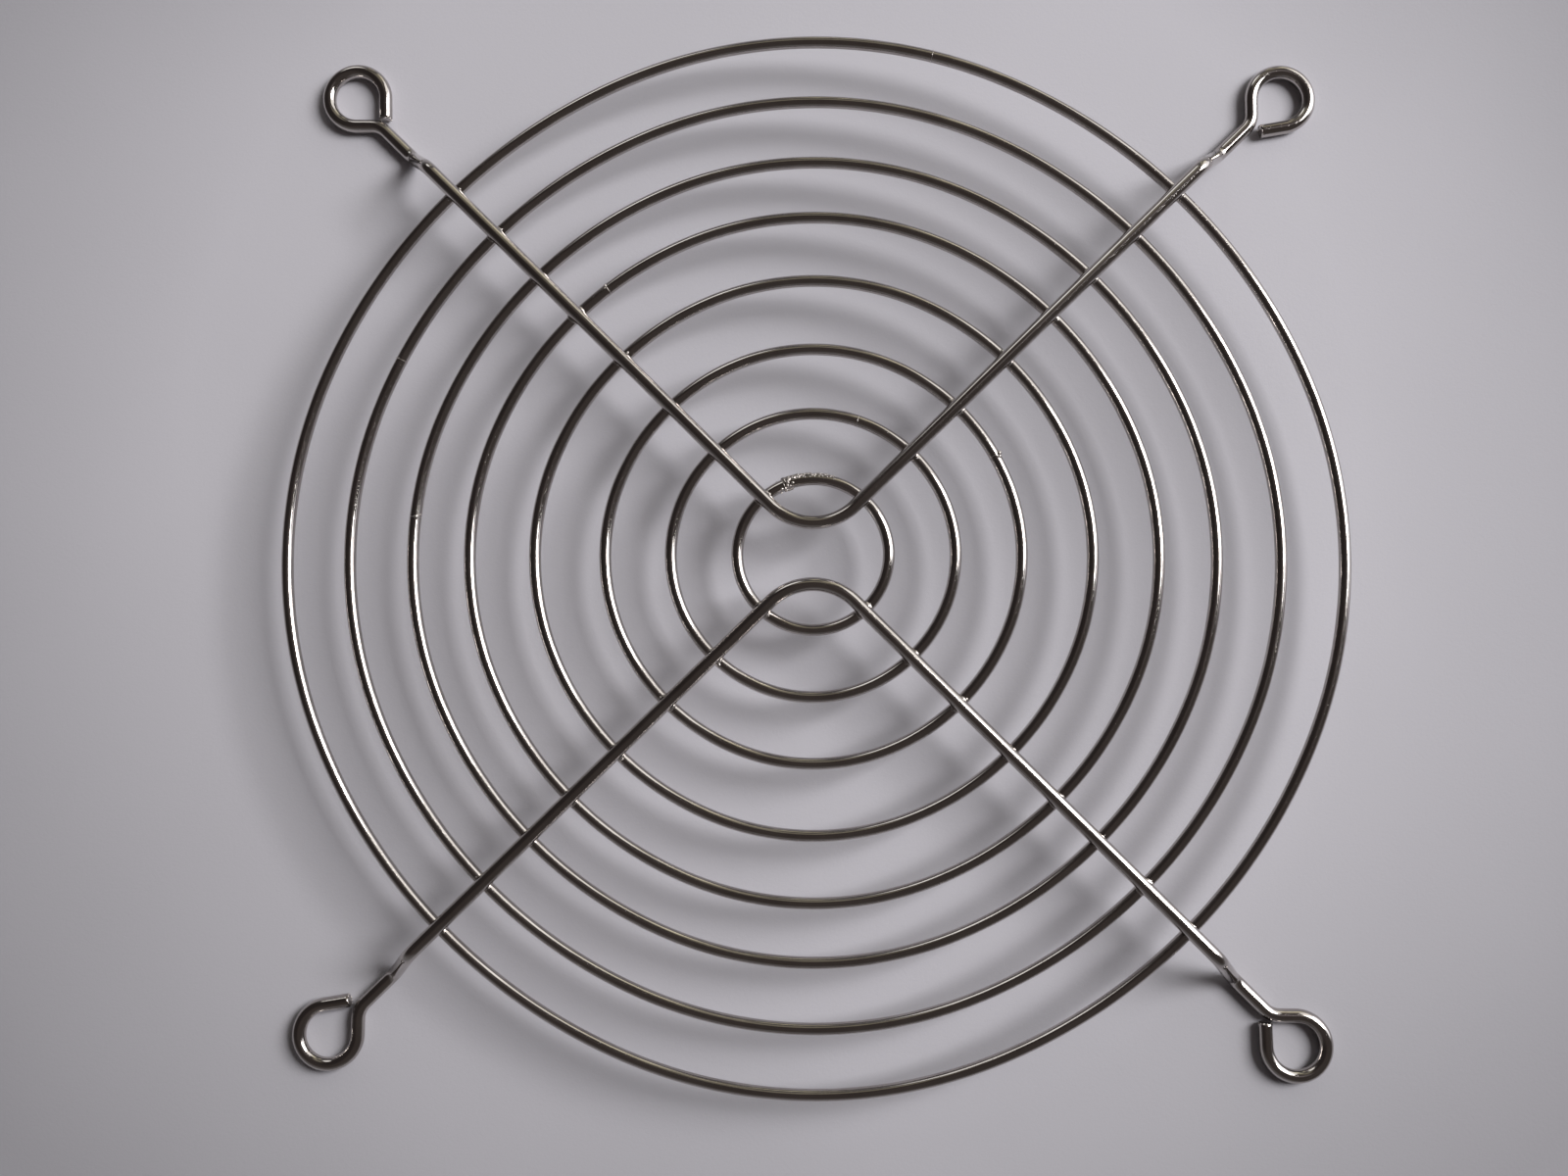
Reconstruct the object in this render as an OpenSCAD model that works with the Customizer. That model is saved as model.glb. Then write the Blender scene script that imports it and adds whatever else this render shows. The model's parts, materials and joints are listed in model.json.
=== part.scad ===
// Finger guard for an axial fan.
// Eight round wire rings lie under two V-shaped spoke wires, resistance-welded where they cross and plated.
// Each spoke wire steps down past the outer ring and ends in two screw eyes, on which the guard stands.
// The origin is the middle of the mounting plane, +Z points away from the fan. Lengths are in millimetres.

/* [Mounting] */
// Spacing of the screw eyes, centre to centre, along X and along Y
hole_spacing = 105; // [101:0.5:125]
// Clear diameter of the hole in each eye
eye_hole_d = 5; // [4:0.1:6.5]
// Height of the whole guard over the mounting plane
guard_height = 7; // [5.5:0.1:14]

/* [Wire] */
// Diameter of the spoke wires
spoke_wire_d = 1.5; // [1.2:0.05:1.8]
// Diameter of the ring wires
ring_wire_d = 1.3; // [1:0.05:1.6]
// Depth by which welding sets the rings into the spoke wires
weld_set = 0.2; // [0.1:0.02:0.3]

/* [Rings] */
// Radius of ring 8, the innermost, to the middle of its wire
inner_ring_r = 8.2; // [8:0.05:10]
// Clear gap between rings 7 and 8, from wire to wire
gap_7_8 = 5.9; // [4.5:0.05:7.5]
// Clear gap between rings 6 and 7
gap_6_7 = 5.8; // [4.5:0.05:7.5]
// Clear gap between rings 5 and 6
gap_5_6 = 6.3; // [4.5:0.05:7.5]
// Clear gap between rings 4 and 5
gap_4_5 = 5.75; // [4.5:0.05:7.5]
// Clear gap between rings 3 and 4
gap_3_4 = 4.85; // [3.5:0.05:6.5]
// Clear gap between rings 2 and 3
gap_2_3 = 5.5; // [4:0.05:7]
// Clear gap between ring 1, the outermost, and ring 2
gap_1_2 = 5.45; // [4:0.05:7]
// How far the outermost ring is drawn in at the spokes, and stands out between them
ring_pull = 0.38; // [0.02:0.02:0.6]
// How far the butt weld of each ring stands proud of the wire, all round
weld_proud = 0.07; // [0.01:0.01:0.15]

/* [Spoke wires] */
// Distance from the middle of the guard to the sharp corner of each V
vee_offset = 0.7; // [0:0.05:1.2]
// Bend radius at the point of each V, to the middle of the wire
vee_bend_r = 6.5; // [4:0.1:6.9]
// Distance along a spoke from the outermost ring to the start of the step down
step_margin = 3.75; // [2.5:0.05:5]
// Length of the step down, seen from above
step_run = 4.1; // [2.5:0.1:5]
// Bend radius at the top and the foot of the step, to the middle of the wire
step_bend_r = 2; // [1.2:0.1:2.5]

/* [Screw eyes] */
// Angle through which the wire is wound round the right eye of each V. Its tail opens a little.
right_eye_wrap = 260; // [258:1:270]
// Angle through which the wire is wound round the left eye
left_eye_wrap = 268; // [258:1:270]
// Depth of the flat that the winding pin leaves inside the eye
eye_land = 0.035; // [0.02:0.005:0.06]
// How far the neck lies along the first side of the eye from the corner of the two sides
neck_shift = 0.5; // [0:0.05:0.9]
// Bend radius of the neck, to the middle of the wire
neck_bend_r = 2.5; // [1.5:0.1:3]
// Gap between the cut end of the wire and the neck
tail_gap = 0.2; // [0.1:0.05:0.5]

/* [Hidden] */
$fn = 48;

eye_at = hole_spacing / 2;                            // X and Y of an eye's middle
eye_r = eye_hole_d / 2 - eye_land + spoke_wire_d / 2; // winding radius, to the middle of the wire
spoke_top_z = guard_height - spoke_wire_d / 2;        // middle of the spoke wire over the rings
spoke_foot_z = spoke_wire_d / 2;                      // middle of the spoke wire at the eyes
ring_z = spoke_top_z - (spoke_wire_d + ring_wire_d) / 2 + weld_set;

ring_gaps = [gap_1_2, gap_2_3, gap_3_4, gap_4_5, gap_5_6, gap_6_7, gap_7_8];
butt_weld_at = [77, 155, 175, 128, 225, 29, 72, 113]; // direction of each ring's butt weld, ring 1 first

// Radius of a ring to the middle of its wire. Rings are numbered from the outermost, and each is built
// up from the next one in.
function ring_r(number) =
    number == 8 ? inner_ring_r : ring_r(number + 1) + ring_wire_d + ring_gaps[number - 1];

// The neck of each eye, in plan. The upper wire's right eye is wound from its left side,
// and its left eye from its lower side.
right_neck = [eye_at - eye_r, eye_at - eye_r + neck_shift];
left_neck = [-eye_at + eye_r - neck_shift, eye_at - eye_r];

// Each arm runs straight, in plan, from the corner of the V to a neck.
vee_corner = [0, vee_offset];
right_heading = atan2(right_neck.y - vee_corner.y, right_neck.x - vee_corner.x);
left_heading = atan2(left_neck.y - vee_corner.y, left_neck.x - vee_corner.x);
vee_axis = (right_heading + left_heading) / 2;
vee_half_bend = 90 - (left_heading - right_heading) / 2;
vee_tangent = vee_bend_r * tan(vee_half_bend);
vee_tip = vee_bend_r / cos(vee_half_bend) - vee_bend_r; // from the sharp corner to the rounded tip

step_drop = spoke_top_z - spoke_foot_z;
step_angle = atan2(step_drop, step_run);
step_tangent = step_bend_r * tan(step_angle / 2);
step_start = ring_r(1) + step_margin - vee_offset; // from the corner of the V, along an arm

// Stretches of one wire join by a hair of overlap, where one is a hair thinner than the next.
lap = 0.03;
lap_angle = 0.03; // of the arcs of a ring
lap_step = 0.004; // in diameter

// Length of the straight tail after an eye. Its cut end stops short of the first side of the eye.
function tail_length(wrap) =
    (eye_r * (1 + sin(270 - wrap)) - spoke_wire_d / 2 - tail_gap) / cos(270 - wrap);

// Straight wire, with what follows it at its far end. Wire runs along +Z of its own frame.
// Its ends are let into the bends before and after it.
module straight(length) {
    translate([0, 0, -lap]) cylinder(h = length + 2 * lap, d = spoke_wire_d - lap_step);
    translate([0, 0, length]) children();
}

// Wire bent through an angle towards the side given, from +X of its own frame, with what follows it.
module bend(radius, angle, side) {
    rotate([0, 0, side]) translate([radius, 0, 0]) {
        rotate([90, 0, 180]) rotate_extrude(angle = angle)
            translate([radius, 0]) rotate(180 + side) circle(d = spoke_wire_d);
        rotate([0, angle, 0]) translate([-radius, 0, 0]) rotate([0, 0, -side]) children();
    }
}

// One arm of a V, from the middle of its tip to the cut end at the eye.
// hand is 1 for the arm on the right and -1 for the one on the left, seen from above with the V opening up.
module arm(neck, heading, hand) {
    down = -90 * hand;
    left = 90 - 90 * hand;
    right = 90 + 90 * hand;
    arm_length = norm(neck - vee_corner);
    neck_bend = (hand > 0 ? 90 : 180) - heading;
    neck_tangent = neck_bend_r * tan(neck_bend / 2);
    wrap = hand > 0 ? right_eye_wrap : left_eye_wrap;
    bend(vee_bend_r, vee_half_bend, 0)
        straight(step_start - step_tangent - vee_tangent)
        bend(step_bend_r, step_angle, down)
        straight(norm([step_run, step_drop]) - 2 * step_tangent)
        bend(step_bend_r, step_angle, -down)
        straight(arm_length - step_start - step_run - step_tangent - neck_tangent)
        bend(neck_bend_r, neck_bend, left)
        straight(eye_r - neck_shift - neck_tangent)
        bend(eye_r, wrap, right)
        straight(tail_length(wrap));
}

// The pin that an eye is wound round, standing past the wire by its own radius above and below
module winding_pin(x, y) {
    translate([x, y, -eye_hole_d / 2]) cylinder(h = spoke_wire_d + eye_hole_d, d = eye_hole_d);
}

// A whole spoke wire, with its V opening towards +Y
module spoke_wire() {
    difference() {
        translate([vee_corner.x, vee_corner.y, spoke_top_z]) rotate([0, 0, vee_axis]) translate([vee_tip, 0, 0]) {
            rotate([90, 0, 0]) arm(right_neck, right_heading, 1);
            rotate([-90, 0, 0]) arm(left_neck, left_heading, -1);
        }
        winding_pin(eye_at, eye_at);
        winding_pin(-eye_at, eye_at);
    }
}

// The straight stretch of every arm, which the rings are set into
module arm_seats() {
    for (turn = [0, 180], heading = [right_heading, left_heading])
        rotate([0, 0, turn]) translate([vee_corner.x, vee_corner.y, spoke_top_z]) rotate([0, 90, heading])
            translate([0, 0, vee_tangent]) cylinder(h = step_start - step_tangent - vee_tangent, d = spoke_wire_d);
}

// A ring of eight arcs that run into each other: tight ones on the axes, flatter ones at the spokes.
// radius is its mean, and pull is how far it lies inside that at the spokes and outside it between them.
module squared_ring(radius, pull) {
    half = 22.5; // half the angle of an arc
    shift = 2 * pull / (2 - 2 * cos(half)); // from the ring's middle to the middle of an arc
    tight_r = radius + pull - shift;
    flat_r = radius - pull + shift;
    for (axis = [0 : 90 : 270]) {
        translate(shift * [cos(axis), sin(axis)])
            rotate_extrude(angle = 2 * (half + lap_angle), start = axis - half - lap_angle)
                translate([tight_r, 0]) circle(d = ring_wire_d - lap_step);
        translate(-shift * [cos(axis + 45), sin(axis + 45)])
            rotate_extrude(angle = 2 * half, start = axis + 45 - half)
                translate([flat_r, 0]) circle(d = ring_wire_d);
    }
}

// One welded ring, set into the arms, with the upset of its butt weld
module ring(number) {
    radius = ring_r(number);
    pull = ring_pull * pow(radius / ring_r(1), 2);
    weld_at = butt_weld_at[number - 1];
    weld_r = radius + pull * cos(4 * weld_at);
    difference() {
        translate([0, 0, ring_z]) {
            squared_ring(radius, pull);
            rotate([0, 0, weld_at]) translate([weld_r, 0, 0]) sphere(d = ring_wire_d + 2 * weld_proud);
        }
        arm_seats();
    }
}

plated = [0.64, 0.63, 0.6]; // colour of the plating
module upper_spoke_wire() { color(plated) spoke_wire(); }
module lower_spoke_wire() { color(plated) rotate([0, 0, 180]) spoke_wire(); }
module ring_1() { color(plated) ring(1); }
module ring_2() { color(plated) ring(2); }
module ring_3() { color(plated) ring(3); }
module ring_4() { color(plated) ring(4); }
module ring_5() { color(plated) ring(5); }
module ring_6() { color(plated) ring(6); }
module ring_7() { color(plated) ring(7); }
module ring_8() { color(plated) ring(8); }

upper_spoke_wire();
lower_spoke_wire();
ring_1();
ring_2();
ring_3();
ring_4();
ring_5();
ring_6();
ring_7();
ring_8();
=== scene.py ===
import json
from math import atan2, cos, degrees, hypot, pi, radians, sin, tan
from random import Random

import bpy
from mathutils import Matrix, Vector


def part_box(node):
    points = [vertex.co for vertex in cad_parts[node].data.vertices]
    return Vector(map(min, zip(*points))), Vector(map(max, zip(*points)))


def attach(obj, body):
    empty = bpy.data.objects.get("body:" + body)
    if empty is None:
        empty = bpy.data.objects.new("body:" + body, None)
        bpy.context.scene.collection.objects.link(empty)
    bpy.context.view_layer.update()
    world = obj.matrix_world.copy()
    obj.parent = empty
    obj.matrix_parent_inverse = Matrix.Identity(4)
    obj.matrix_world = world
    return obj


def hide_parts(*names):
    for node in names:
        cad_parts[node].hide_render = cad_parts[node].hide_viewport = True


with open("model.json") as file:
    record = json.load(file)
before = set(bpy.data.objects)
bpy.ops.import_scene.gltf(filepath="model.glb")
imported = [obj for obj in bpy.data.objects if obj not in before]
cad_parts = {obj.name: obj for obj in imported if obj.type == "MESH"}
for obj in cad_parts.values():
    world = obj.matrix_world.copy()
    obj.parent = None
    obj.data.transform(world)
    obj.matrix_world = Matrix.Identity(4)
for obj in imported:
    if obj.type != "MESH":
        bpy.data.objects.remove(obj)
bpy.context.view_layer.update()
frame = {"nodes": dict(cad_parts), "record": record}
mm = 0.001
print("frame loaded:", len(frame["nodes"]), "wires")


# Short ways to add nodes. An input is a number, a colour or the socket that feeds it.
def addNode(tree, kind, inputs=None, **settings):
    node = tree.nodes.new(kind)
    for name, value in settings.items():
        setattr(node, name, value)
    for key, value in (inputs or {}).items():
        if isinstance(value, bpy.types.NodeSocket):
            tree.links.new(value, node.inputs[key])
        else:
            node.inputs[key].default_value = value
    return node


def calculate(tree, operation, *values):
    inputs = dict(enumerate(values))
    return addNode(tree, "ShaderNodeMath", inputs, operation=operation).outputs[0]


def vectorMath(tree, operation, *values):
    inputs = dict(enumerate(values))
    return addNode(tree, "ShaderNodeVectorMath", inputs, operation=operation).outputs[0]


def scaleVector(tree, vector, scale):
    return addNode(tree, "ShaderNodeVectorMath", {0: vector, "Scale": scale}, operation="SCALE").outputs[0]


def joinXyz(tree, x=0.0, y=0.0, z=0.0):
    return addNode(tree, "ShaderNodeCombineXYZ", {"X": x, "Y": y, "Z": z}).outputs[0]


def makeTree(name, sockets):
    tree = bpy.data.node_groups.new(name, "GeometryNodeTree")
    tree.interface.new_socket("Geometry", in_out="INPUT", socket_type="NodeSocketGeometry")
    for label, kind in sockets.items():
        tree.interface.new_socket(label, in_out="INPUT", socket_type="NodeSocket" + kind)
    tree.interface.new_socket("Geometry", in_out="OUTPUT", socket_type="NodeSocketGeometry")
    start = tree.nodes.new("NodeGroupInput")
    end = tree.nodes.new("NodeGroupOutput")
    return tree, start.outputs, end.inputs


def finishTree(tree, mesh, material, end):
    real = addNode(tree, "GeometryNodeRealizeInstances", {"Geometry": mesh}).outputs[0]
    smooth = addNode(tree, "GeometryNodeSetShadeSmooth", {"Geometry": real}).outputs[0]
    painted = addNode(tree, "GeometryNodeSetMaterial", {"Geometry": smooth, "Material": material})
    tree.links.new(painted.outputs[0], end["Geometry"])


# Runs a tree on a mesh and keeps the result as a plain mesh with no modifier.
def bakeTree(name, mesh, tree, values):
    source = bpy.data.objects.new(name + "Source", mesh)
    bpy.context.scene.collection.objects.link(source)
    modifier = source.modifiers.new("tree", "NODES")
    modifier.node_group = tree
    for item in tree.interface.items_tree:
        if item.in_out == "INPUT" and item.name in values:
            modifier[item.identifier] = values[item.name]
    bpy.context.view_layer.update()
    evaluated = source.evaluated_get(bpy.context.evaluated_depsgraph_get())
    result = bpy.data.meshes.new_from_object(evaluated)
    source.modifiers.remove(modifier)
    bpy.data.objects.remove(source)
    result.name = name
    piece = bpy.data.objects.new(name, result)
    bpy.context.scene.collection.objects.link(piece)
    return piece


def pathMesh(name, points):
    edges = [(i, i + 1) for i in range(len(points) - 1)]
    mesh = bpy.data.meshes.new(name)
    mesh.from_pydata([tuple(p) for p in points], edges, [])
    return mesh


def setPointVectors(mesh, name, vectors):
    attribute = mesh.attributes.new(name, "FLOAT_VECTOR", "POINT")
    for item, vector in zip(attribute.data, vectors):
        item.vector = vector


cameraView = {
    "place": (-0.295 * mm, -15.765 * mm, 163.41 * mm),
    "turn": (4.37, 1.0, 0.44),  # rotation vector in degrees
    "lens": 33.72,
    "sensorWidth": 36,
    "clipStart": 0.01,
}


def addCamera(view):
    data = bpy.data.cameras.new("camera")
    data.lens = view["lens"]
    data.sensor_width = view["sensorWidth"]
    data.clip_start = view["clipStart"]
    obj = bpy.data.objects.new("camera", data)
    turn = Vector(view["turn"])
    obj.matrix_world = Matrix.Translation(view["place"]) @ Matrix.Rotation(radians(turn.length), 4, turn)
    bpy.context.scene.collection.objects.link(obj)
    bpy.context.scene.camera = obj


addCamera(cameraView)


plating = {
    "clean": (0.5, 0.47, 0.45),
    "dull": (0.35, 0.318, 0.3),
    "roughLow": 0.04,
    "roughHigh": 0.13,
    "drawLines": 16.0,  # across the wire, per mm
    "drawStretch": 0.22,  # along the wire, per mm
    "lineNoise": (3.0, 0.6),  # detail and roughness of the noise, here and below
    "lineRange": (0.45, 0.75),
    "lineShare": 0.35,  # of the dullness, from the lines
    "clouds": 0.23,  # thick and thin plating, per mm
    "cloudNoise": (3.0, 0.55),
    "cloudRange": (0.35, 0.7),
    "cloudShare": 0.65,
    "pits": 11.0,  # per mm
    "pitNoise": (2.0, 0.7),
    "pitRange": (0.62, 0.75),  # only the peaks of the noise are pits
    "pitRoughness": 0.15,
    "relief": 0.012 * mm,
    "reliefStrength": 0.35,
    "lineHeight": 0.6,
    "pitHeight": 0.5,
}
weldSkin = {
    "lumps": 4.0,  # per mm
    "lumpNoise": (4.0, 0.6),
    "dullRange": (0.35, 0.65),
    "pits": 17.6,
    "pitNoise": (2.0, 0.7),
    "pitRange": (0.3, 0.7),
    "pitHeight": 0.4,
    "roughLow": 0.18,
    "roughHigh": 0.45,
    "relief": 0.05 * mm,
    "reliefStrength": 0.6,
}


def startMaterial(name):
    material = bpy.data.materials.new(name)
    material.use_nodes = True
    tree = material.node_tree
    return material, tree, tree.nodes["Principled BSDF"]


def noiseAt(tree, vector, scale, detail=2.0, roughness=0.5):
    inputs = {"Vector": vector, "Scale": scale, "Detail": detail, "Roughness": roughness}
    return addNode(tree, "ShaderNodeTexNoise", inputs).outputs["Fac"]


def remap(tree, value, low, high, toLow=0.0, toHigh=1.0):
    inputs = {"Value": value, "From Min": low, "From Max": high, "To Min": toLow, "To Max": toHigh}
    return addNode(tree, "ShaderNodeMapRange", inputs).outputs["Result"]


def mixColour(tree, factor, first, second):
    node = addNode(tree, "ShaderNodeMix", data_type="RGBA")
    # its inputs 0, 6 and 7 are the factor and the two colours, and output 2 is the mixed colour
    for index, value in ((0, factor), (6, first), (7, second)):
        if isinstance(value, bpy.types.NodeSocket):
            tree.links.new(value, node.inputs[index])
        else:
            node.inputs[index].default_value = value if index == 0 else (*value, 1)
    return node.outputs[2]


# Coordinates in millimetres from a socket in metres
def inMillimetres(tree, socket):
    return vectorMath(tree, "MULTIPLY", socket, (1 / mm, 1 / mm, 1 / mm))


def addRelief(tree, shader, height, look):
    inputs = {"Height": height, "Strength": look["reliefStrength"], "Distance": look["relief"]}
    tree.links.new(addNode(tree, "ShaderNodeBump", inputs).outputs[0], shader.inputs["Normal"])


# Bright plating over drawn wire: fine lines run along the wire, with pits, specks and cloudy patches.
def makeWirePlating(look):
    material, tree, shader = startMaterial("platedWire")
    wireSpace = addNode(tree, "ShaderNodeAttribute", attribute_name="wireSpace").outputs["Vector"]
    alongWire = (look["drawLines"], look["drawLines"], look["drawStretch"])
    stretched = vectorMath(tree, "MULTIPLY", inMillimetres(tree, wireSpace), alongWire)
    lines = noiseAt(tree, stretched, 1.0, *look["lineNoise"])
    place = inMillimetres(tree, addNode(tree, "ShaderNodeTexCoord").outputs["Object"])
    pits = remap(tree, noiseAt(tree, place, look["pits"], *look["pitNoise"]), *look["pitRange"])
    clouds = noiseAt(tree, place, look["clouds"], *look["cloudNoise"])
    cloudy = remap(tree, clouds, *look["cloudRange"], 0.0, look["cloudShare"])
    lined = remap(tree, lines, *look["lineRange"], 0.0, look["lineShare"])
    dullness = calculate(tree, "ADD", cloudy, lined)
    tree.links.new(mixColour(tree, dullness, look["clean"], look["dull"]), shader.inputs["Base Color"])
    rough = remap(tree, dullness, 0.0, 1.0, look["roughLow"], look["roughHigh"])
    pitted = calculate(tree, "MULTIPLY", pits, look["pitRoughness"])
    tree.links.new(calculate(tree, "ADD", rough, pitted), shader.inputs["Roughness"])
    lineRelief = calculate(tree, "MULTIPLY", lines, look["lineHeight"])
    height = calculate(tree, "ADD", lineRelief, calculate(tree, "MULTIPLY", pits, look["pitHeight"]))
    addRelief(tree, shader, height, look)
    shader.inputs["Metallic"].default_value = 1.0
    return material


# The same plating over welded metal: no draw lines, more pits, duller.
def makeWeldPlating(look, skin):
    material, tree, shader = startMaterial("platedWeld")
    place = inMillimetres(tree, addNode(tree, "ShaderNodeTexCoord").outputs["Object"])
    lumps = noiseAt(tree, place, skin["lumps"], *skin["lumpNoise"])
    pits = noiseAt(tree, place, skin["pits"], *skin["pitNoise"])
    dullness = remap(tree, lumps, *skin["dullRange"])
    tree.links.new(mixColour(tree, dullness, look["clean"], look["dull"]), shader.inputs["Base Color"])
    rough = remap(tree, pits, *skin["pitRange"], skin["roughLow"], skin["roughHigh"])
    tree.links.new(rough, shader.inputs["Roughness"])
    height = calculate(tree, "ADD", lumps, calculate(tree, "MULTIPLY", pits, skin["pitHeight"]))
    addRelief(tree, shader, height, skin)
    shader.inputs["Metallic"].default_value = 1.0
    return material


wirePlating = makeWirePlating(plating)
weldPlating = makeWeldPlating(plating, weldSkin)
print("finishes made")


# The sweep is a group of its own, shared by the rings and the spoke wires. It keeps "wireSpace" for the
# finish: X and Y are the place round the wire, Z is the length along it.
def makeSweepTree():
    sockets = {"Wire Diameter": "Float", "Sides": "Int", "End Scale": "Float", "End Length": "Float"}
    tree, start, end = makeTree("wireSweep", sockets)
    length = addNode(tree, "GeometryNodeSplineParameter").outputs["Length"]
    total = addNode(tree, "GeometryNodeSplineLength").outputs["Length"]
    path = addNode(tree, "GeometryNodeCaptureAttribute", {"Geometry": start["Geometry"]})
    path.capture_items.new("FLOAT", "along")
    tree.links.new(length, path.inputs[1])
    radius = calculate(tree, "MULTIPLY", start["Wire Diameter"], 0.5)
    inputs = {"Resolution": start["Sides"], "Radius": radius}
    circle = addNode(tree, "GeometryNodeCurvePrimitiveCircle", inputs).outputs[0]
    profile = addNode(tree, "GeometryNodeCaptureAttribute", {"Geometry": circle})
    profile.capture_items.new("VECTOR", "across")
    tree.links.new(addNode(tree, "GeometryNodeInputPosition").outputs[0], profile.inputs[1])
    # the sheared ends of an open wire are drawn in a little
    fromEnd = calculate(tree, "MINIMUM", length, calculate(tree, "SUBTRACT", total, length))
    share = calculate(tree, "MINIMUM", calculate(tree, "DIVIDE", fromEnd, start["End Length"]), 1.0)
    left = calculate(tree, "SUBTRACT", 1.0, share)
    drawnIn = calculate(tree, "MULTIPLY", calculate(tree, "MULTIPLY", left, left), start["End Scale"])
    scale = calculate(tree, "SUBTRACT", 1.0, drawnIn)
    inputs = {"Curve": path.outputs[0], "Profile Curve": profile.outputs[0], "Scale": scale,
              "Fill Caps": True}
    swept = addNode(tree, "GeometryNodeCurveToMesh", inputs).outputs[0]
    space = vectorMath(tree, "ADD", profile.outputs[1], joinXyz(tree, z=path.outputs[1]))
    store = addNode(tree, "GeometryNodeStoreNamedAttribute", data_type="FLOAT_VECTOR", domain="POINT")
    store.inputs["Name"].default_value = "wireSpace"
    tree.links.new(swept, store.inputs["Geometry"])
    tree.links.new(space, store.inputs["Value"])
    tree.links.new(store.outputs[0], end["Geometry"])
    return tree


sweepTree = makeSweepTree()


# A ring is eight arcs that run into each other: tight ones on the axes, flatter ones at the spoke wires.
ringWire = {
    "diameter": 1.3 * mm,
    "pull": 0.38 * mm,  # out between the spokes and in at them, on the outermost ring
    "arcs": 8,
    "pointStep": 0.45 * mm,
    "sides": 24,
}


def makeRingTree():
    sockets = {"Radius": "Float", "Pull": "Float", "Height": "Float", "Wire Diameter": "Float",
               "Points": "Int", "Sides": "Int", "Material": "Material"}
    tree, start, end = makeTree("squaredRing", sockets)
    arcTurn = 2 * pi / ringWire["arcs"]
    circle = addNode(tree, "GeometryNodeCurvePrimitiveCircle", {"Resolution": start["Points"], "Radius": 1.0})
    out = addNode(tree, "GeometryNodeInputPosition").outputs[0]
    split = addNode(tree, "ShaderNodeSeparateXYZ", {0: out}).outputs
    angle = calculate(tree, "ARCTAN2", split["Y"], split["X"])
    sector = calculate(tree, "ROUND", calculate(tree, "DIVIDE", angle, arcTurn))
    sign = calculate(tree, "COSINE", calculate(tree, "MULTIPLY", sector, pi))  # -1 at the spokes
    shift = calculate(tree, "DIVIDE", start["Pull"], 1 - cos(arcTurn / 2))
    signedShift = calculate(tree, "MULTIPLY", shift, sign)
    middleAngle = calculate(tree, "MULTIPLY", sector, arcTurn)
    middleX = calculate(tree, "MULTIPLY", signedShift, calculate(tree, "COSINE", middleAngle))
    middleY = calculate(tree, "MULTIPLY", signedShift, calculate(tree, "SINE", middleAngle))
    signedPull = calculate(tree, "MULTIPLY", start["Pull"], sign)
    arcRadius = calculate(tree, "SUBTRACT", calculate(tree, "ADD", start["Radius"], signedPull), signedShift)
    arc = scaleVector(tree, out, arcRadius)
    place = vectorMath(tree, "ADD", arc, joinXyz(tree, middleX, middleY, start["Height"]))
    ring = addNode(tree, "GeometryNodeSetPosition", {"Geometry": circle.outputs[0], "Position": place})
    sweep = addNode(tree, "GeometryNodeGroup", node_tree=sweepTree)
    inputs = {"Geometry": ring.outputs[0], "Wire Diameter": start["Wire Diameter"], "Sides": start["Sides"]}
    for name, socket in inputs.items():
        tree.links.new(socket, sweep.inputs[name])
    sweep.inputs["End Scale"].default_value = 0.0
    sweep.inputs["End Length"].default_value = 1.0
    finishTree(tree, sweep.outputs[0], start["Material"], end)
    return tree


def ringSizes(number):
    low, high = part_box("ring_%d" % number)
    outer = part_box("ring_1")[1].x - ringWire["diameter"] / 2 - ringWire["pull"]
    reach = high.x - ringWire["diameter"] / 2
    pull = ringWire["pull"] * (reach / outer) ** 2
    return {"radius": reach - pull, "pull": pull, "height": (low.z + high.z) / 2}


# Radius of a ring in a direction. It stays within a few thousandths of a millimetre of the arcs.
def ringReach(ring, angle):
    return ring["radius"] + ring["pull"] * cos(ringWire["arcs"] / 2 * angle)


ringTree = makeRingTree()
rings = {number: ringSizes(number) for number in range(1, 9)}
for number, ring in rings.items():
    name = "ring_%d" % number
    arcPoints = round(2 * pi * ring["radius"] / ringWire["pointStep"] / ringWire["arcs"])
    points = ringWire["arcs"] * arcPoints
    values = {"Radius": ring["radius"], "Pull": ring["pull"], "Height": ring["height"], "Points": points,
              "Wire Diameter": ringWire["diameter"], "Sides": ringWire["sides"], "Material": wirePlating}
    piece = bakeTree("platedRing%d" % number, bpy.data.meshes.new(name), ringTree, values)
    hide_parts(name)
    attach(piece, "root")
print("rings made")


spokeWire = {
    "diameter": 1.5 * mm,
    "veeOffset": 0.7 * mm,
    "veeBend": 6.5 * mm,
    "stepMargin": 3.75 * mm,
    "stepRun": 4.1 * mm,
    "stepBend": 2.0 * mm,
    "eyeLand": 0.035 * mm,
    "neckShift": 0.5 * mm,
    "neckBend": 2.5 * mm,
    "rightTailGap": 0.2 * mm,
    "leftTailGap": 0.04 * mm,
    "rightWrap": 260,  # degrees round the right eye and the left one
    "leftWrap": 268,
    "pointStep": 0.25 * mm,
    "fewestBendSteps": 8,
    "sides": 28,
    "endScale": 0.2,  # how far the cut ends are drawn in, and over what length
    "endLength": 0.12 * mm,
    "endSplit": (0.6, 0.4),  # that length is swept in two steps
}
threeQuarterTurn = 270
eyeMount = next(m for m in frame["record"]["mounts"] if m["name"] == "screw_eyes")


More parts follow.
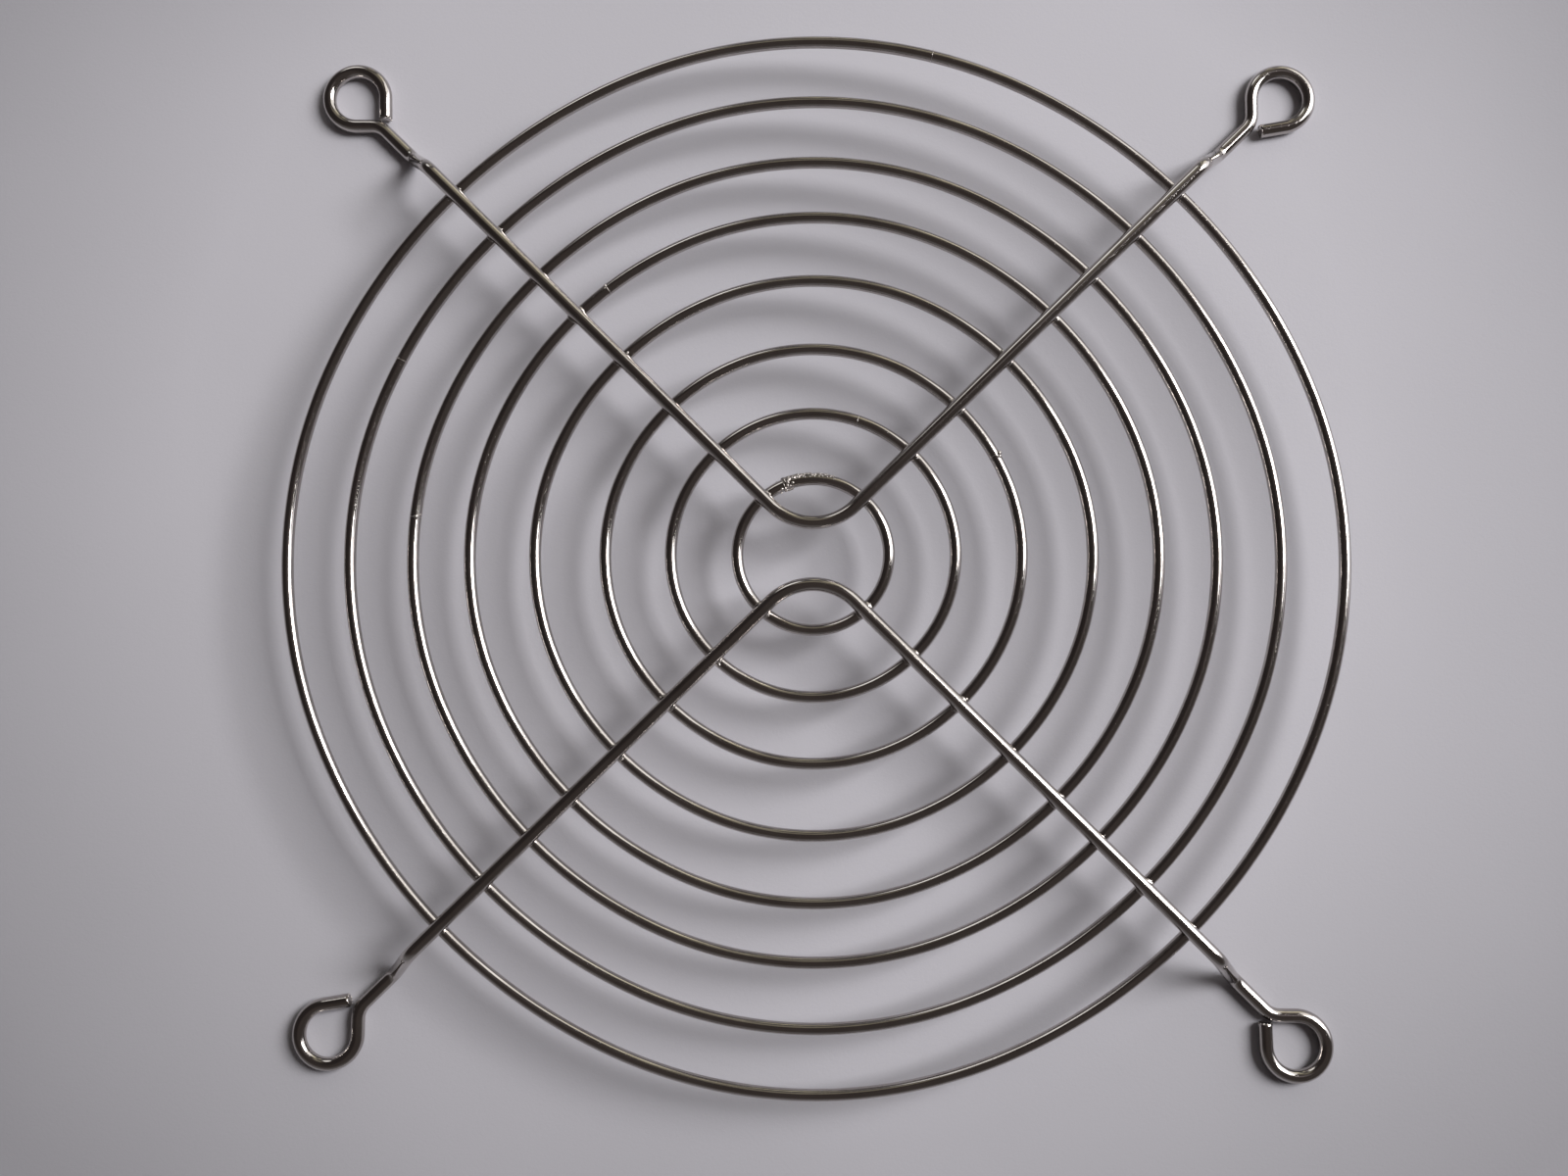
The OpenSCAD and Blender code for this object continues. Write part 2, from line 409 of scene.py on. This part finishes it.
# Walks along a wire from a start frame, where the wire runs along +Z, and returns its points.
def walk(start, stretches, size):
    step = size["pointStep"]
    place = start.copy()
    points = [place.translation.copy()]
    for stretch in stretches:
        if len(stretch) == 1:
            count = max(1, round(stretch[0] / step))
            points += [place @ Vector((0, 0, stretch[0] * i / count)) for i in range(1, count + 1)]
            place = place @ Matrix.Translation((0, 0, stretch[0]))
        else:
            radius, angle = stretch[0], radians(stretch[1])
            side = Matrix.Rotation(radians(stretch[2]), 4, "Z")
            count = max(size["fewestBendSteps"], round(radius * angle / step))
            turns = [angle * i / count for i in range(1, count + 1)]
            points += [place @ side @ Vector((radius * (1 - cos(a)), 0, radius * sin(a))) for a in turns]
            corner = Matrix.Translation((radius, 0, 0)) @ Matrix.Rotation(angle, 4, "Y")
            place = place @ side @ corner @ Matrix.Translation((-radius, 0, 0)) @ side.inverted()
    return points


# The bends of one spoke wire and the headings of its arms, from the same sizes as the solid
def spokeShape(size):
    low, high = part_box("upper_spoke_wire")
    radius = size["diameter"] / 2
    eyeAt = eyeMount["dims"]["spacing_x_mm"] * mm / 2
    eyeBend = eyeMount["dims"]["hole_r_mm"] * mm - size["eyeLand"] + radius
    corner = Vector((0, size["veeOffset"]))
    necks = {1: Vector((eyeAt - eyeBend, eyeAt - eyeBend + size["neckShift"])),
             -1: Vector((-eyeAt + eyeBend - size["neckShift"], eyeAt - eyeBend))}
    headings = {hand: atan2(neck.y - corner.y, neck.x - corner.x) for hand, neck in necks.items()}
    halfBend = pi / 2 - (headings[-1] - headings[1]) / 2
    return {
        "topZ": high.z - radius, "drop": high.z - low.z - size["diameter"], "eyeBend": eyeBend,
        "corner": corner, "necks": necks, "headings": headings, "halfBend": halfBend,
        "veeTangent": size["veeBend"] * tan(halfBend), "veeTip": size["veeBend"] * (1 / cos(halfBend) - 1),
        "stepStart": rings[1]["radius"] + size["stepMargin"] - size["veeOffset"],
    }


def armStretches(size, shape, hand):
    down, left, right = -90 * hand, 90 - 90 * hand, 90 + 90 * hand
    stepAngle = atan2(shape["drop"], size["stepRun"])
    stepTangent = size["stepBend"] * tan(stepAngle / 2)
    heading = shape["headings"][hand]
    neckAngle = (pi / 2 if hand > 0 else pi) - heading
    neckTangent = size["neckBend"] * tan(neckAngle / 2)
    wrap = size["rightWrap"] if hand > 0 else size["leftWrap"]
    tailGap = size["rightTailGap"] if hand > 0 else size["leftTailGap"]
    short = radians(threeQuarterTurn - wrap)
    eyeBend = shape["eyeBend"]
    armLength = (shape["necks"][hand] - shape["corner"]).length
    tail = (eyeBend * (1 + sin(short)) - size["diameter"] / 2 - tailGap) / cos(short)
    return [
        (size["veeBend"], degrees(shape["halfBend"]), 0),
        (shape["stepStart"] - stepTangent - shape["veeTangent"],),
        (size["stepBend"], degrees(stepAngle), down),
        (hypot(size["stepRun"], shape["drop"]) - 2 * stepTangent,),
        (size["stepBend"], degrees(stepAngle), -down),
        (armLength - shape["stepStart"] - size["stepRun"] - stepTangent - neckTangent,),
        (size["neckBend"], degrees(neckAngle), left),
        (eyeBend - size["neckShift"] - neckTangent,),
        (eyeBend, wrap, right),
        (tail - size["endLength"],),
        *((size["endLength"] * share,) for share in size["endSplit"]),
    ]


def spokePath(size, shape, turn):
    axis = (shape["headings"][1] + shape["headings"][-1]) / 2
    place = Vector((shape["corner"].x, shape["corner"].y, shape["topZ"]))
    tip = Matrix.Rotation(turn, 4, "Z") @ Matrix.Translation(place) @ Matrix.Rotation(axis, 4, "Z")
    tip = tip @ Matrix.Translation((shape["veeTip"], 0, 0))
    arms = {}
    for hand in (1, -1):
        start = tip @ Matrix.Rotation(hand * pi / 2, 4, "X")
        arms[hand] = walk(start, armStretches(size, shape, hand), size)
    return arms[-1][:0:-1] + arms[1]


def makeSpokeTree():
    sockets = {"Wire Diameter": "Float", "Sides": "Int", "End Scale": "Float", "End Length": "Float",
               "Material": "Material"}
    tree, start, end = makeTree("spokeWire", sockets)
    curve = addNode(tree, "GeometryNodeMeshToCurve", {"Mesh": start["Geometry"]}).outputs[0]
    sweep = addNode(tree, "GeometryNodeGroup", node_tree=sweepTree)
    tree.links.new(curve, sweep.inputs["Geometry"])
    for name in ("Wire Diameter", "Sides", "End Scale", "End Length"):
        tree.links.new(start[name], sweep.inputs[name])
    finishTree(tree, sweep.outputs[0], start["Material"], end)
    return tree


spokeTree = makeSpokeTree()
spokes = spokeShape(spokeWire)
spokePaths = {"upper": spokePath(spokeWire, spokes, 0), "lower": spokePath(spokeWire, spokes, pi)}
for name, points in spokePaths.items():
    path = pathMesh(name, points)
    values = {"Wire Diameter": spokeWire["diameter"], "Sides": spokeWire["sides"], "Material": wirePlating,
              "End Scale": spokeWire["endScale"], "End Length": spokeWire["endLength"]}
    piece = bakeTree(name + "PlatedSpokeWire", path, spokeTree, values)
    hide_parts(name + "_spoke_wire")
    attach(piece, "root")
print("spoke wires made")


lumpNoise = (3.0, 0.6)  # detail and roughness


# Small lumps of welded metal, one at each point. Every point carries the half sizes and the turn of its lump.
def makeLumpTree():
    sockets = {"Roughness": "Float", "Lump Size": "Float", "Seed": "Float", "Fineness": "Int",
               "Material": "Material"}
    tree, start, end = makeTree("weldLumps", sockets)
    roundLump = {"Radius": 1.0, "Subdivisions": start["Fineness"]}
    ball = addNode(tree, "GeometryNodeMeshIcoSphere", roundLump).outputs[0]
    named = {}
    for name in ("halfSize", "turn"):
        node = addNode(tree, "GeometryNodeInputNamedAttribute", data_type="FLOAT_VECTOR")
        node.inputs["Name"].default_value = name
        named[name] = node.outputs[0]
    turn = addNode(tree, "FunctionNodeEulerToRotation", {0: named["turn"]}).outputs[0]
    inputs = {"Points": start["Geometry"], "Instance": ball, "Rotation": turn, "Scale": named["halfSize"]}
    lumps = addNode(tree, "GeometryNodeInstanceOnPoints", inputs).outputs[0]
    real = addNode(tree, "GeometryNodeRealizeInstances", {"Geometry": lumps}).outputs[0]
    place = addNode(tree, "GeometryNodeInputPosition").outputs[0]
    perSize = calculate(tree, "DIVIDE", 1.0, start["Lump Size"])
    seed = joinXyz(tree, start["Seed"], start["Seed"], start["Seed"])
    seeded = vectorMath(tree, "ADD", scaleVector(tree, place, perSize), seed)
    noise = noiseAt(tree, seeded, 1.0, *lumpNoise)
    push = calculate(tree, "MULTIPLY", calculate(tree, "SUBTRACT", noise, 0.5), start["Roughness"])
    normal = addNode(tree, "GeometryNodeInputNormal").outputs[0]
    inputs = {"Geometry": real, "Offset": scaleVector(tree, normal, push)}
    moved = addNode(tree, "GeometryNodeSetPosition", inputs).outputs[0]
    finishTree(tree, moved, start["Material"], end)
    return tree


lumpTree = makeLumpTree()


# lumps is a list of (place, half sizes, turn about Z)
def addLumps(name, lumps, look):
    mesh = bpy.data.meshes.new(name)
    mesh.from_pydata([tuple(place) for place, halfSize, turn in lumps], [], [])
    setPointVectors(mesh, "halfSize", [halfSize for place, halfSize, turn in lumps])
    setPointVectors(mesh, "turn", [(0, 0, turn) for place, halfSize, turn in lumps])
    values = {"Roughness": look["roughness"], "Lump Size": look["lumpSize"], "Seed": look["seed"],
              "Fineness": look["fineness"], "Material": weldPlating}
    piece = bakeTree(name, mesh, lumpTree, values)
    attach(piece, "root")


# Where an arm crosses a ring: the place on the ring's middle line, the heading of the arm and the height.
# The place is found in a few steps, because the radius of a ring varies a little.
def crossings():
    steps = 6
    found = []
    for turn in (0, pi):
        corner = Matrix.Rotation(turn, 2) @ spokes["corner"]
        for heading in spokes["headings"].values():
            along = Vector((cos(heading + turn), sin(heading + turn)))
            for ring in rings.values():
                reach = ring["radius"]
                for step in range(steps):
                    place = corner + along * reach
                    reach += ringReach(ring, atan2(place.y, place.x)) - place.length
                found.append((corner + along * reach, heading + turn, ring["height"]))
    return found


# Metal squeezed out between the ring and the spoke wire, with a few beads on the ring beside the spoke
squeeze = {
    "draws": 11,  # starts the random numbers, as below
    "halfSize": (0.92 * mm, 0.78 * mm, 0.24 * mm),
    "sizeSpread": (0.85, 1.12),
    "sink": 0.08 * mm,
    "beadSize": 0.17 * mm,
    "beadSpread": (0.5, 1.1),
    "beadLength": (0.7, 1.4),  # against its width
    "beadHeight": 0.7,
    "beadShare": 0.6,
    "beadOut": (0.8, 0.98),  # mm from the middle of the arm
    "beadAside": 0.25,  # mm from the middle of the ring
    "beadLift": 0.02 * mm,
    "roughness": 0.16 * mm,
    "lumpSize": 0.45 * mm,
    "seed": 3.0,
    "fineness": 3,
}


def addCrossingWelds(look):
    random = Random(look["draws"])
    lumps = []
    wireRadius = ringWire["diameter"] / 2
    aside = look["beadAside"]
    for place, heading, height in crossings():
        share = random.uniform(*look["sizeSpread"])
        seat = Vector((place.x, place.y, height + wireRadius - look["sink"]))
        lumps.append((seat, [half * share for half in look["halfSize"]], heading + pi / 2))
        for side in (-1, 1):
            if random.random() < look["beadShare"]:
                out = side * random.uniform(*look["beadOut"]) * mm
                spread = random.uniform(-aside, aside) * mm
                shift = Vector((-sin(heading) * out + cos(heading) * spread,
                                cos(heading) * out + sin(heading) * spread, look["beadLift"]))
                size = look["beadSize"] * random.uniform(*look["beadSpread"])
                halves = (size, size * random.uniform(*look["beadLength"]), size * look["beadHeight"])
                lumps.append((seat + shift, halves, heading))
    addLumps("crossingWelds", lumps, look)


# The thin fin where the ends of a ring are butted, and the spurs beside some of them
buttWeld = {
    "directions": {1: 77, 2: 155, 3: 175, 4: 128, 5: 225, 6: 29, 7: 72, 8: 113},
    "halfSize": (0.705 * mm, 0.1 * mm, 0.705 * mm),
    # ring, direction, place round the wire in degrees (0 is its outer side, 90 its top) and half size in mm
    "spurs": [
        (1, 77, 30, 0.1), (1, 2.4, 10, 0.09), (2, 155, 70, 0.12), (3, 175, 110, 0.27), (3, 174.6, 150, 0.16),
        (4, 128, 50, 0.2), (4, 128.3, 75, 0.13), (6, 29, 38, 0.34), (6, 28.2, 58, 0.26), (7, 72, 100, 0.11),
    ],
    "spurWidth": 0.8,  # along the ring
    "spurSink": 0.05 * mm,
    "roughness": 0.1 * mm,
    "lumpSize": 0.3 * mm,
    "seed": 8.0,
    "fineness": 4,
}


# A point at a distance from the middle line of a ring; side is 0 on the outer side and 90 on top.
def ringPoint(ring, direction, side, distance):
    angle = radians(direction)
    reach = ringReach(ring, angle) + distance * cos(radians(side))
    return Vector((reach * cos(angle), reach * sin(angle), ring["height"] + distance * sin(radians(side))))


def addButtWelds(look):
    lumps = []
    for number, direction in look["directions"].items():
        lumps.append((ringPoint(rings[number], direction, 0, 0), look["halfSize"], radians(direction)))
    for number, direction, side, size in look["spurs"]:
        place = ringPoint(rings[number], direction, side, ringWire["diameter"] / 2 - look["spurSink"])
        spur = size * mm
        lumps.append((place, (spur, spur * look["spurWidth"], spur), radians(direction)))
    addLumps("buttWelds", lumps, look)


# The innermost ring was welded too hot: a crust of beads runs from its weld along the outer side.
crust = {
    "draws": 17,
    "from": 112,
    "to": 74,
    "beads": 170,
    "crowding": 1.4,  # above 1, more of the beads lie near the weld
    "beadSize": (0.16, 0.07),  # at the weld and where the crust ends, in mm
    "beadSpread": (0.6, 1.15),
    "beadLength": (0.8, 1.6),  # against its width
    "beadSide": (-15, 70),  # degrees round the wire, as for the spurs
    "beadHeight": 0.8,
    "bigBeads": 22,
    "bigBeadSize": (0.15, 0.27),
    "bigBeadLength": (0.8, 1.3),
    "bigBeadSpread": (-6, 6),  # degrees along the ring
    "bigBeadSide": (-10, 190),
    "bigBeadReach": 0.9,  # of the radius of the wire
    "roughness": 0.11 * mm,
    "lumpSize": 0.2 * mm,
    "seed": 21.0,
    "fineness": 2,
}


def addCrust(look):
    random = Random(look["draws"])
    lumps = []
    ring = rings[8]
    wireRadius = ringWire["diameter"] / 2
    atWeld, atEnd = look["beadSize"]
    for bead in range(look["beads"]):
        share = random.random() ** look["crowding"]
        direction = look["from"] + (look["to"] - look["from"]) * share
        size = (atWeld + (atEnd - atWeld) * share) * random.uniform(*look["beadSpread"]) * mm
        place = ringPoint(ring, direction, random.uniform(*look["beadSide"]), wireRadius)
        halves = (size, size * random.uniform(*look["beadLength"]), size * look["beadHeight"])
        lumps.append((place, halves, radians(direction)))
    for bead in range(look["bigBeads"]):
        direction = look["from"] + random.uniform(*look["bigBeadSpread"])
        size = random.uniform(*look["bigBeadSize"]) * mm
        side = random.uniform(*look["bigBeadSide"])
        place = ringPoint(ring, direction, side, wireRadius * look["bigBeadReach"])
        halves = (size, size * random.uniform(*look["bigBeadLength"]), size * look["beadHeight"])
        lumps.append((place, halves, radians(direction)))
    addLumps("weldCrust", lumps, look)


# The ragged rim that the shear left on the four tails
shear = {
    "draws": 23,
    "beads": 14,  # round each tail
    "beadSize": (0.05, 0.13),  # mm
    "beadHeight": 0.8,
    "rim": (0.78, 0.92),  # place of a bead from the middle of the wire, against its radius
    "sink": 0.04,  # mm
    "roughness": 0.06 * mm,
    "lumpSize": 0.15 * mm,
    "seed": 4.0,
    "fineness": 2,
}


def addShearBurrs(look):
    random = Random(look["draws"])
    up = Vector((0, 0, 1))
    lumps = []
    for points in spokePaths.values():
        for tip, before in ((points[0], points[1]), (points[-1], points[-2])):
            along = (tip - before).normalized()
            across = along.cross(up)
            for bead in range(look["beads"]):
                angle = random.uniform(0, 2 * pi)
                rim = spokeWire["diameter"] / 2 * random.uniform(*look["rim"])
                place = tip + (across * cos(angle) + up * sin(angle)) * rim - along * look["sink"] * mm
                size = random.uniform(*look["beadSize"]) * mm
                lumps.append((place, (size, size, size * look["beadHeight"]), angle))
    addLumps("shearBurrs", lumps, look)


addCrossingWelds(squeeze)
addButtWelds(buttWeld)
addCrust(crust)
addShearBurrs(shear)
print("welds made")


# A sheet of pale paper lies under the guard.
paper = {
    "halfSize": 1.6,
    "colour": (0.485, 0.475, 0.515),
    "shade": (0.452, 0.443, 0.48),
    "paintedShadeFactor": 0.62,  # painted shade: the colour is darkened away from the middle, standing in for the light falling off
    "paintedShadeFrom": 66 * mm,
    "paintedShadeTo": 115 * mm,
    "middle": (-5 * mm, 15 * mm, 0),
    "fibres": 2600.0,
    "fibreNoise": (4.0, 0.7),
    "clouds": 16.0,
    "cloudNoise": (2.0, 0.5),
    "cloudRange": (0.3, 0.7),
    "relief": 0.06 * mm,
    "reliefStrength": 0.3,
    "roughness": 0.85,
    "specular": 0.2,
}


def addPaper(sheet):
    half = sheet["halfSize"]
    mesh = bpy.data.meshes.new("paper")
    corners = [(-half, -half, 0), (half, -half, 0), (half, half, 0), (-half, half, 0)]
    mesh.from_pydata(corners, [], [(0, 1, 2, 3)])
    floor = bpy.data.objects.new("paper", mesh)
    bpy.context.scene.collection.objects.link(floor)
    material, tree, shader = startMaterial("matPaper")
    place = addNode(tree, "ShaderNodeTexCoord").outputs["Object"]
    fibres = noiseAt(tree, place, sheet["fibres"], *sheet["fibreNoise"])
    clouds = noiseAt(tree, place, sheet["clouds"], *sheet["cloudNoise"])
    plain = mixColour(tree, remap(tree, clouds, *sheet["cloudRange"]), sheet["shade"], sheet["colour"])
    inputs = {0: place, 1: sheet["middle"]}
    reach = addNode(tree, "ShaderNodeVectorMath", inputs, operation="DISTANCE").outputs["Value"]
    # painted shade: the floor colour is darkened with distance from the middle, standing in for light that
    # falls off towards the corners
    paintedShadeColour = vectorMath(tree, "MULTIPLY", plain, (sheet["paintedShadeFactor"],) * 3)
    paintedShadeMask = remap(tree, reach, sheet["paintedShadeFrom"], sheet["paintedShadeTo"])
    tree.links.new(mixColour(tree, paintedShadeMask, plain, paintedShadeColour), shader.inputs["Base Color"])
    addRelief(tree, shader, fibres, sheet)
    shader.inputs["Roughness"].default_value = sheet["roughness"]
    shader.inputs["Specular IOR Level"].default_value = sheet["specular"]
    mesh.materials.append(material)


def direction(azimuth, elevation):
    a, e = radians(azimuth), radians(elevation)
    return Vector((cos(e) * cos(a), cos(e) * sin(a), sin(e)))


room = {
    "zenith": (0.07, 0.058, 0.054),
    "zenithFrom": 0.7,  # how high up the colour of the zenith begins; 1 is straight up
    "horizon": (0.24, 0.235, 0.24),
    # soft bright and dark parts of the room: azimuth, elevation, inner and outer half angle, colour
    "parts": [
        (165, 38, 20, 55, (0.036, 0.03, 0.029)),
        (320, 40, 15, 50, (0.07, 0.06, 0.056)),
        (22, 16, 15, 26, (2.0, 2.02, 2.1)),
        (50, 24, 11, 18, (1.6, 1.58, 1.55)),
        (46, 39, 8, 14, (1.7, 1.67, 1.58)),
        (67, 16, 5, 11, (1.2, 1.15, 0.9)),
        (75, 33, 4, 9, (0.65, 0.6, 0.45)),
        (88, 12, 2.5, 7, (0.8, 0.76, 0.55)),
        (90, 50, 5, 14, (0.3, 0.28, 0.22)),
        (112, 28, 6, 13, (1.6, 1.6, 1.56)),
        (34, 69, 4, 14, (0.22, 0.2, 0.2)),
    ],
}


def addRoom(look):
    world = bpy.data.worlds.new("room")
    world.use_nodes = True
    tree = world.node_tree
    view = addNode(tree, "ShaderNodeTexCoord").outputs["Generated"]
    up = addNode(tree, "ShaderNodeSeparateXYZ", {0: view}).outputs["Z"]
    colour = mixColour(tree, remap(tree, up, 0.0, look["zenithFrom"]), look["horizon"], look["zenith"])
    for azimuth, elevation, inner, outer, tint in look["parts"]:
        dot = addNode(tree, "ShaderNodeVectorMath", {0: view, 1: direction(azimuth, elevation)},
                      operation="DOT_PRODUCT").outputs["Value"]
        inputs = {"Value": dot, "From Min": cos(radians(outer)), "From Max": cos(radians(inner))}
        near = addNode(tree, "ShaderNodeMapRange", inputs, interpolation_type="SMOOTHSTEP").outputs["Result"]
        colour = mixColour(tree, near, colour, tint)
    tree.links.new(colour, tree.nodes["Background"].inputs["Color"])
    bpy.context.scene.world = world


lamps = {
    "window": {"azimuth": 22, "elevation": 40.5, "distance": 1.4, "size": (0.58, 0.7), "power": 24.4,
               "colour": (1.0, 0.99, 0.985)},
}


def addLamp(name, lamp):
    data = bpy.data.lights.new(name, "AREA")
    data.shape = "RECTANGLE"
    data.size, data.size_y = lamp["size"]
    data.energy = lamp["power"]
    data.color = lamp["colour"]
    obj = bpy.data.objects.new(name, data)
    towards = direction(lamp["azimuth"], lamp["elevation"])
    obj.location = towards * lamp["distance"]
    obj.rotation_euler = towards.to_track_quat("Z", "Y").to_euler()
    bpy.context.scene.collection.objects.link(obj)


addPaper(paper)
addRoom(room)
for name, lamp in lamps.items():
    addLamp(name, lamp)
bpy.context.scene.view_settings.view_transform = "Standard"
print("floor, room and lamps made")
